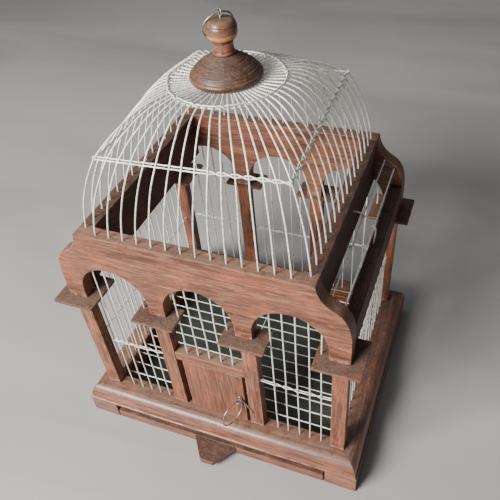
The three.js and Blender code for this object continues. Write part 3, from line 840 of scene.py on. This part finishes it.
# ---- grilles
BAY_Y = {"front": centre("front_wires_left").y, "back": centre("back_wires_left").y}
BAYS = {"left": (-102.6 * MM, 11 * MM), "middle": (-23.4 * MM, 11.7 * MM), "right": (64 * MM, 11.1 * MM)}
BAY_WIRES = 5
TIE_Z = {"left": 115 * MM, "middle": 112 * MM, "right": 116 * MM}
TIE_SAG = {"left": 0.4 * MM, "middle": 0.4 * MM, "right": 1.5 * MM}
LEFT_TIE_START = 4.4 * MM  # how far the left front tie reaches beyond its first wire
SIDE_X = high("side_wires_right").x - 0.9 * MM
SIDE_COUNT, SIDE_PITCH, SIDE_TIE_Z = 15, 12.4 * MM, 112 * MM


def bay_xs(bay):
    first, pitch = BAYS[bay]
    return [first + i * pitch for i in range(BAY_WIRES)]


def side_ys():
    return [AXIS_Y + (i - (SIDE_COUNT - 1) / 2) * SIDE_PITCH for i in range(SIDE_COUNT)]


def arch_height(x):
    """Height of the arches' underside over x."""
    off = x - round(x / ARCH_PITCH) * ARCH_PITCH
    return SPRING_Z + math.sqrt(ARCH_RADIUS ** 2 - off ** 2)


def grille(node, ends, tie):
    """Hand-straightened wires, each between its two ends, with the strands of their tie."""
    lines = [(nearly_straight(*pair, seed_of(node) + i), WIRE) for i, pair in enumerate(ends)]
    stand_for(wires(node + "_bent", lines + tie), node)


def build_bay_grilles():
    for side, facing in (("front", -1), ("back", 1)):
        for bay in BAYS:
            node = f"{side}_wires_{bay}"
            lo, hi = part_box(node)
            y = BAY_Y[side]
            uprights, tie = [], []
            for i, x in enumerate(bay_xs(bay)):
                lean = 0.6 * MM * ripple((i, seed_of(node) + i, 0), 1.7)
                uprights.append(((x + lean, y, lo.z - SINK), (x, y, arch_height(x) + SINK)))
            if side == "back" or bay != "middle":
                short = side == "front" and bay == "left"
                left = bay_xs(bay)[0] - LEFT_TIE_START if short else lo.x
                crossings = [x - left for x in bay_xs(bay)]
                ends = (left, y, TIE_Z[bay]), (hi.x, y, TIE_Z[bay])
                tie = twisted(*ends, (0, facing, 0), crossings, crossed=0.7, sag=TIE_SAG[bay],
                              seed=seed_of(node))
            grille(node, uprights, tie)


def build_side_wires():
    for side, facing in (("left", -1), ("right", 1)):
        node = "side_wires_" + side
        lo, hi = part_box(node)
        x = facing * SIDE_X
        uprights = []
        for i, y in enumerate(side_ys()):
            lean = 0.4 * MM * ripple((i, seed_of(node) + i, 2), 1.3)
            uprights.append(((x + lean, y, lo.z - SINK), (x, y, hi.z + SINK)))
        tie = twisted((x, lo.y, SIDE_TIE_Z), (x, hi.y, SIDE_TIE_Z), (facing, 0, 0),
                      [y - lo.y for y in side_ys()], seed=seed_of(node))
        grille(node, uprights, tie)


ROOF_UPPER, ROOF_LOWER = (113.5 * MM, 239 * MM), (123.5 * MM, 230.5 * MM)
ROOF_TIE_Y = AXIS_Y + 5 * MM
# X and Z of the bent tie, from the top rail over both wires to the eave rail.
ROOF_TIE = [(101.5, 243.4), (104.5, 243.5), (108.5, 243.2), (112.4, 241.9), (116.5, 239), (119.9, 235.2),
            (123, 232.2), (124.9, 230.2), (125.5, 225), (125.2, 219), (124.8, 213), (124.6, 207)]
# The short cross piece between the two wires, which runs askew.
ROOF_CROSS = [(110.6, -36.4, 240.2), (112.6, -35.6, 240.6), (116, -32.5, 238.2), (120, -28, 234.2),
              (123, -25, 232), (124.8, -24.4, 231)]
ROOF_TIE_WIRE = 0.72 * MM


def knot(at, along, radius=HOLD, turns=2.5, length=2.4 * MM):
    """A few turns of thin wire round a thicker one."""
    along = Vector(along).normalized()
    side, other = frame_axes(along)
    steps = round(12 * turns)
    line = []
    for k in range(steps + 1):
        a = math.tau * turns * k / steps
        around = (side * math.cos(a) + other * math.sin(a)) * radius
        line.append(Vector(at) + along * length * (k / steps - 0.5) + around)
    return line, STRAND


def build_roof_wires():
    for side, facing in (("left", -1), ("right", 1)):
        node = "roof_wires_" + side
        lo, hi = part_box(node)
        ends = []
        for x, z in (ROOF_UPPER, ROOF_LOWER):
            ends.append(((facing * x, lo.y - SINK, z), (facing * x, hi.y + SINK, z)))
        eave = high("eave_rail_" + side).z - SINK
        over = [Vector((facing * x * MM, ROOF_TIE_Y, z * MM)) for x, z in ROOF_TIE if z * MM > eave]
        over.append(Vector((over[-1].x, ROOF_TIE_Y, eave)))
        cross = [Vector((facing * x * MM, AXIS_Y + y * MM, z * MM)) for x, y, z in ROOF_CROSS]
        ties = [(smoothed(line, 6), ROOF_TIE_WIRE) for line in (over, cross)]
        for (x, z), cross_end in ((ROOF_UPPER, cross[1]), (ROOF_LOWER, cross[-1])):
            for y in (ROOF_TIE_Y, cross_end.y):
                ties.append(knot((facing * x, y, z), (0, 1, 0)))
        grille(node, ends, ties)


# ---- door
def build_door():
    feet = [(x, BAY_Y["front"], high("door_header").z) for x in bay_xs("middle")]
    timber("door_header", ALONG, ACROSS, holes=feet)
    timber("door_panel", ALONG, UP)
    for node in ("door_pivot_lower", "door_pivot_upper"):
        lo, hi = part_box(node)
        x, y = (lo.x + hi.x) / 2, (lo.y + hi.y) / 2
        pin = [Vector((x, y, mix(lo.z, hi.z, k / 6))) for k in range(7)]
        stand_for(wires(node + "_pin", [(pin, (hi.x - lo.x) / 2)]), node)


RING_OPENING, RING_STEPS = 0.03, 72  # a loose ring's cut, in radians, and its steps


def circle(middle, first, second, radius, opening, steps):
    """An arc from first towards second, with an opening in radians left at its start."""
    line = []
    for k in range(steps + 1):
        a = opening / 2 + (math.tau - opening) * k / steps
        line.append(Vector(middle) + (Vector(first) * math.cos(a) + Vector(second) * math.sin(a)) * radius)
    return line


def screw_eye(eye, shank_end, outward, sideways, radius, wire):
    """A loop closed on its own shank."""
    eye, shank_end, outward = Vector(eye), Vector(shank_end), Vector(outward)
    neck = eye - outward * radius
    loop = circle(eye, -outward, Vector(sideways), radius, 0.5, 30)
    stem = [shank_end.lerp(neck, t) for t in (0, 0.4, 0.8)]
    return [([*stem, *loop], wire)]


EYE_WIRE, LATCH_WIRE, LATCH_HEAD = 0.6 * MM, 0.7 * MM, 1.6 * MM
CLEAR = 0.35 * MM  # how far the latch lies back and the eye forwards, to clear each other


def build_door_furniture():
    eye_lo, eye_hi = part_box("door_screw_eye")
    ring_lo, ring_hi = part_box("door_pull_ring")
    loop_radius = (eye_hi.x - eye_lo.x) / 2 - EYE_WIRE
    eye = (eye_lo + eye_hi) / 2
    eye.y = eye_lo.y + loop_radius + EYE_WIRE - CLEAR
    shank = Vector((eye.x, low("door_panel").y + 4 * MM, eye.z))
    stand_for(wires("door_eye", screw_eye(eye, shank, (0, -1, 0), (1, 0, 0), loop_radius, EYE_WIRE)),
              "door_screw_eye")
    middle = (ring_lo + ring_hi) / 2
    radius = (ring_hi.z - ring_lo.z) / 2 - WIRE
    outward = Vector((eye.x - middle.x, eye.y - middle.y, 0)).normalized()
    ring = circle(middle, (0, 0, -1), outward, radius, RING_OPENING, RING_STEPS)
    stand_for(wires("door_ring", [(ring, WIRE)]), "door_pull_ring")

    lo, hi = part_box("door_latch_hook")
    plane = hi.y - EYE_WIRE + CLEAR
    pivot = Vector((eye.x, plane, eye.z))
    tip = Vector((hi.x - 1.2 * MM, plane, lo.z + 2.2 * MM))
    arm = (tip - pivot).normalized()
    side = arm.cross(Vector((0, 1, 0))).normalized()
    head = circle(pivot, arm, side, LATCH_HEAD, 0.6, 20)
    middle = pivot.lerp(tip, 0.5) + side * 0.5 * MM
    line = [*head[::-1], pivot + arm * 2 * LATCH_HEAD, middle, tip]
    for over, back in ((0.8, 1.1), (1.1, 2.2)):
        line.append(tip + arm * over * MM - Vector((0, back * MM, 0)))
    stand_for(wires("door_latch", [(smoothed(line, 3), LATCH_WIRE)]), "door_latch_hook")


# ---- dome
DOME_FOOT_Z = high("arcade_front").z
DOME_STEPS = 15
CORNER_FOOT, FRONT_FOOT_Y, SIDE_FOOT_X = (98 * MM, 97.5 * MM), 103.7 * MM, 98.4 * MM
# The tie isn't quite level or square: its corners from front left round to the right.
TIE_CORNERS = [Vector(corner) * MM for corner in ((-79.5, -82.8, 322.2), (78.3, -78.1, 325.9),
                                                  (75.1, 86.4, 330.5), (-77, 84, 325))]
CLOSING, ROUNDNESS = 0.787, 0.68  # how far a wire has closed in at the tie, and how round its lower part is
RING_RADIUS, RING_Z = 47 * MM, 357.3 * MM
RING_PER_GAP, RING_SPREAD = 8, 0.35 * MM
CROWN_END, CROWN_END_Z = 22 * MM, 357.2 * MM
DOME_SIDES = ("front", "right", "back", "left")
DOME_STRAND = 0.64 * MM
OVERHANG = 1.8 * MM  # how far a tie's ends reach past its corner wires
PLAIN_GAPS = range(1, 10)  # the gaps of the front tie whose strands lie side by side


def dome_side_feet(side):
    """Where the wires of one side of the dome stand, from its first corner on."""
    across = side % 2 == 0
    sign = -1 if side in (0, 3) else 1
    way = 1 if side < 2 else -1
    corner_x, corner_y = CORNER_FOOT
    feet = []
    for i in range(DOME_STEPS):
        run = way * (2 * i / DOME_STEPS - 1)
        if across:
            x, y = run * corner_x, sign * (FRONT_FOOT_Y if i else corner_y)
        else:
            x, y = sign * (SIDE_FOOT_X if i else corner_x), run * corner_y
        feet.append(Vector((x, y, DOME_FOOT_Z)))
    return feet


def dome_feet():
    return [foot + AXIS for side in range(4) for foot in dome_side_feet(side)]


# How high the knots of a wire stand, as shares of the way up to the tie.
LOWER_KNOTS = (0, 0.14, 0.28, 0.41, 0.54, 0.65, 0.76, 0.88, 1)
# The same from the tie to the ring, each with how much of the way in is still to go.
UPPER_KNOTS = ((0.22, 0.88), (0.42, 0.745), (0.60, 0.60), (0.76, 0.455), (0.88, 0.30), (0.96, 0.14), (1, 0))
DOME_DRIFT, DOME_SWELL = 1.0 * MM, 0.7 * MM  # how far a wire strays sideways and outwards


def dome_wire(foot, tie, seed):
    """A wire that leans in from its foot to the tie and lies over to the crown."""
    knots = [foot - Vector((0, 0, SINK)), foot - Vector((0, 0, SINK / 2))]
    full = 1 / math.sqrt(1 - CLOSING ** 2)
    for share in LOWER_KNOTS:
        rounded = (1 - math.sqrt(1 - (share / full) ** 2)) / (1 - CLOSING)
        here = foot.lerp(tie, mix(share, rounded, ROUNDNESS))
        here.z = mix(foot.z, tie.z, share)
        knots.append(here)
    out = Vector((foot.x, foot.y, 0)).normalized()
    ring = out * RING_RADIUS + Vector((0, 0, RING_Z))
    for share, bulge in UPPER_KNOTS:
        here = ring.lerp(tie, bulge)
        here.z = mix(tie.z, ring.z, share)
        knots.append(here)
    for share in (0.4, 1):
        knots.append(out * mix(RING_RADIUS, CROWN_END, share) + Vector((0, 0, CROWN_END_Z)))
    sideways = Vector((-out.y, out.x, 0))
    line = []
    for i, here in enumerate(knots):
        free = min(1.0, max(0, i - 2) / 4, (len(knots) - 1 - i) / 3)
        drift = ripple((i * 0.23, seed, 0.5), 1.0) * DOME_DRIFT * free
        swell = ripple((i * 0.31, seed, 9.5), 1.0) * DOME_SWELL * free
        line.append(here + out * swell + sideways * drift + AXIS)
    return smoothed(line, 3)


def build_dome():
    for side, name in enumerate(DOME_SIDES):
        node = "dome_" + name
        begin, finish = TIE_CORNERS[side], TIE_CORNERS[(side + 1) % 4]
        along = (finish - begin).normalized()
        outward = Vector((along.y, -along.x, 0))
        shift = AXIS - outward * 0.2 * MM
        lines = []
        for i, foot in enumerate(dome_side_feet(side)):
            tie = begin.lerp(finish, i / DOME_STEPS)
            lines.append((dome_wire(foot, tie, seed_of(node) + i), DOME_RADIUS))
        pitch = (finish - begin).length / DOME_STEPS
        crossings = [OVERHANG + pitch * i for i in range(DOME_STEPS + 1)]
        ends = begin - along * OVERHANG + shift, finish + along * OVERHANG * 0.6 + shift
        lines += twisted(*ends, outward - Vector((0, 0, 0.6)), crossings, DOME_STRAND, DOME_RADIUS,
                         seed=seed_of(node), per_gap=10, plain=PLAIN_GAPS if name == "front" else ())
        stand_for(wires(node + "_bent", lines), node)


def build_dome_ring():
    """Two strands, one over and one under the wires, that change places in every fourth gap."""
    headings = sorted(math.atan2(f.y, f.x) for side in range(4) for f in dome_side_feet(side))
    headings.append(headings[0] + math.tau)
    apart = DOME_RADIUS + DOME_STRAND
    strands = ([], [])
    turn = 0.0
    for i, (a, b) in enumerate(zip(headings, headings[1:])):
        swaps = i % 4 == 1
        for k in range(RING_PER_GAP):
            t = k / RING_PER_GAP
            heading = mix(a, b, t)
            angle = turn + math.pi * swaps * (t - math.sin(math.tau * t) / math.tau)
            between = mix(0.75 * apart, DOME_STRAND, swaps)
            spread = mix(between, apart, abs(math.cos(math.pi * t)) ** 2)
            for strand, sign in zip(strands, (1, -1)):
                radius = RING_RADIUS + sign * (spread * math.sin(angle) + RING_SPREAD)
                height = RING_Z + sign * spread * math.cos(angle)
                place = Vector((radius * math.cos(heading), AXIS_Y + radius * math.sin(heading), height))
                strand.append(place)
        turn += math.pi * swaps
    piece = wires("dome_ring_twisted", [(strand, DOME_STRAND) for strand in strands], closed=True)
    stand_for(piece, "dome_ring")


# ---- finial
# Profiles from the axis out and back, as radius and height above the foot, in millimetres.
DISC_RIM = [(0, 0), (27.4, 0), (28.3, 0.3), (28.9, 1.1), (29.25, 2.1), (29.3, 3.0), (29.1, 3.9), (28.7, 4.7),
            (28.2, 5.2), (27.9, 5.3), (27.6, 5.7)]
DISC_CROWN = [(26.7, 7.1), (25.3, 8.8), (23.5, 10.4), (21.5, 12.0), (19.4, 13.5), (17.1, 14.9), (14.9, 16.2),
              (12.8, 17.4), (11.1, 18.3), (10.1, 18.8), (9.4, 19.2)]
DISC_TOP = (0, 19.3)
KNOB_NECK = [(0, 0), (8.7, 0), (8.9, 0.4), (8.8, 1.1), (8.4, 2.2), (8.05, 3.7), (7.8, 5.3), (7.8, 7.0),
             (7.95, 8.4), (8.15, 9.2)]
KNOB_BALL = [(8.0, 9.6), (8.5, 10.0), (9.4, 10.6), (10.3, 11.5), (11.0, 12.7), (11.2, 13.1), (11.6, 14.4),
             (11.85, 16.2), (11.9, 18.2), (11.8, 20.0), (11.6, 21.0), (11.35, 21.25), (11.35, 21.6),
             (11.0, 22.9), (10.3, 24.0), (9.2, 24.9), (7.6, 25.5), (5.4, 25.85), (2.8, 26.0), (1.2, 25.8),
             (0, 25.5)]


def scored(profile, width=0.25):
    """The profile with a faint groove halfway along each of its lengths, as a turning tool leaves them."""
    points = [profile[0]]
    for i, ((r0, h0), (r1, h1)) in enumerate(zip(profile, profile[1:])):
        depth = 0.06 + 0.05 * math.sin(2.7 * i)
        length = math.hypot(r1 - r0, h1 - h0)
        inward = ((h0 - h1) / length, (r1 - r0) / length)
        for share, deep in ((0.5 - width / length, 0), (0.5, depth), (0.5 + width / length, 0)):
            points.append((mix(r0, r1, share) + inward[0] * deep, mix(h0, h1, share) + inward[1] * deep))
        points.append((r1, h1))
    return points


def build_finial():
    for node, profile in (("finial_disc", [*DISC_RIM, *scored(DISC_CROWN), DISC_TOP]),
                          ("finial_knob", KNOB_NECK + KNOB_BALL)):
        foot = low(node).z
        piece = turned(node, [(r * MM, foot + h * MM) for r, h in profile])
        stand_for(piece, node, grain=ACROSS)


CROWN_WIRE, CROWN_LOOP = 0.7 * MM, 2.6 * MM


def build_crown():
    lo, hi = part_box("crown_screw_eye")
    eye = Vector((0, AXIS_Y, hi.z - CROWN_LOOP - CROWN_WIRE))
    ring_middle = centre("hanging_ring")
    slope = (ring_middle - eye).normalized()
    level = Vector((slope.y, -slope.x, 0)).normalized()
    across = Vector((-level.y, level.x, 0))
    stem = Vector((0, AXIS_Y, lo.z))
    screw = screw_eye(eye, stem, (0, 0, 1), across, CROWN_LOOP, CROWN_WIRE)
    stand_for(wires("crown_eye", screw), "crown_screw_eye")
    ring = circle(ring_middle, slope, level, (ring_middle - eye).length, RING_OPENING, RING_STEPS)
    stand_for(wires("crown_ring_wire", [(ring, WIRE)]), "hanging_ring")


# ---- stage
CAMERA_AT = Vector((0.1869, -0.3683, 0.5590))
CAMERA_AIM = Vector((0.0214, 0.0089, 0.1747))
CAMERA_ROLL = -0.083
LENS, SHIFT = 41.12, (-0.0312, 0.0109)


def build_camera():
    data = bpy.data.cameras.new("camera")
    data.lens = LENS
    data.shift_x, data.shift_y = SHIFT
    data.clip_start = 0.01
    camera = linked("camera", data)
    forward = (CAMERA_AIM - CAMERA_AT).normalized()
    right = forward.cross(Vector((0, 0, 1))).normalized()
    up = right.cross(forward)
    c, s = math.cos(CAMERA_ROLL), math.sin(CAMERA_ROLL)
    right, up = right * c + up * s, up * c - right * s
    turn = Matrix((right, up, -forward)).transposed().to_4x4()
    camera.matrix_world = Matrix.Translation(CAMERA_AT) @ turn
    bpy.context.scene.camera = camera


def area_light(name, at, aim, width, height, power, colour):
    data = bpy.data.lights.new(name, "AREA")
    data.shape = "RECTANGLE"
    data.size = width
    data.size_y = height
    data.energy = power
    data.color = colour
    light = linked(name, data)
    light.location = at
    light.rotation_euler = (Vector(aim) - Vector(at)).to_track_quat("-Z", "Y").to_euler()


FLOOR_HALF = 3.0
# The cloth's colour in the painted shade of its folds and where they catch the light.
CLOTH_SHADED, CLOTH_LIT = (0.34, 0.325, 0.315), (0.42, 0.405, 0.395)
ROOM_COLOUR, ROOM_STRENGTH = (0.72, 0.74, 0.78, 1), 0.13


def build_stage():
    corners = rectangle(-FLOOR_HALF, FLOOR_HALF, -FLOOR_HALF, FLOOR_HALF)
    floor = mesh_piece("floor", [(x, y, 0) for x, y in corners], [[0, 1, 2, 3]])
    n = Nodes("floor_cloth")
    place = n.place()
    # Painted shade of folds: the flat floor is mottled between the shaded and the lit colour.
    painted_fold_shade = n.noise(n.stretched(place, (0.6, 1.4, 1.0)), 3.2, 3.0, 0.5, 0.6)
    n.feed(n.shader, "Base Color", n.blend(n.ramp(painted_fold_shade, 0.35, 0.65), CLOTH_SHADED, CLOTH_LIT))
    n.feed(n.shader, "Roughness", 0.75)
    floor.data.materials.append(n.material)
    aim = (0, 0, 0.15)
    area_light("window", (-0.66, -1.20, 1.05), aim, 0.85, 0.5, 70, (1.0, 0.972, 0.935))
    area_light("ceiling", (-0.4, 0.1, 2.2), aim, 1.4, 1.4, 8, (0.93, 0.96, 1.0))
    world = bpy.data.worlds.new("room")
    world.use_nodes = True
    background = world.node_tree.nodes["Background"]
    background.inputs["Color"].default_value = ROOM_COLOUR
    background.inputs["Strength"].default_value = ROOM_STRENGTH
    bpy.context.scene.world = world


build_camera()
build_stage()
build_plinth()
build_tray()
build_floor_grille()
build_columns()
build_capitals()
build_arcades()
build_rails()
build_bay_grilles()
build_side_wires()
build_roof_wires()
build_door()
build_door_furniture()
build_dome()
build_dome_ring()
build_finial()
build_crown()
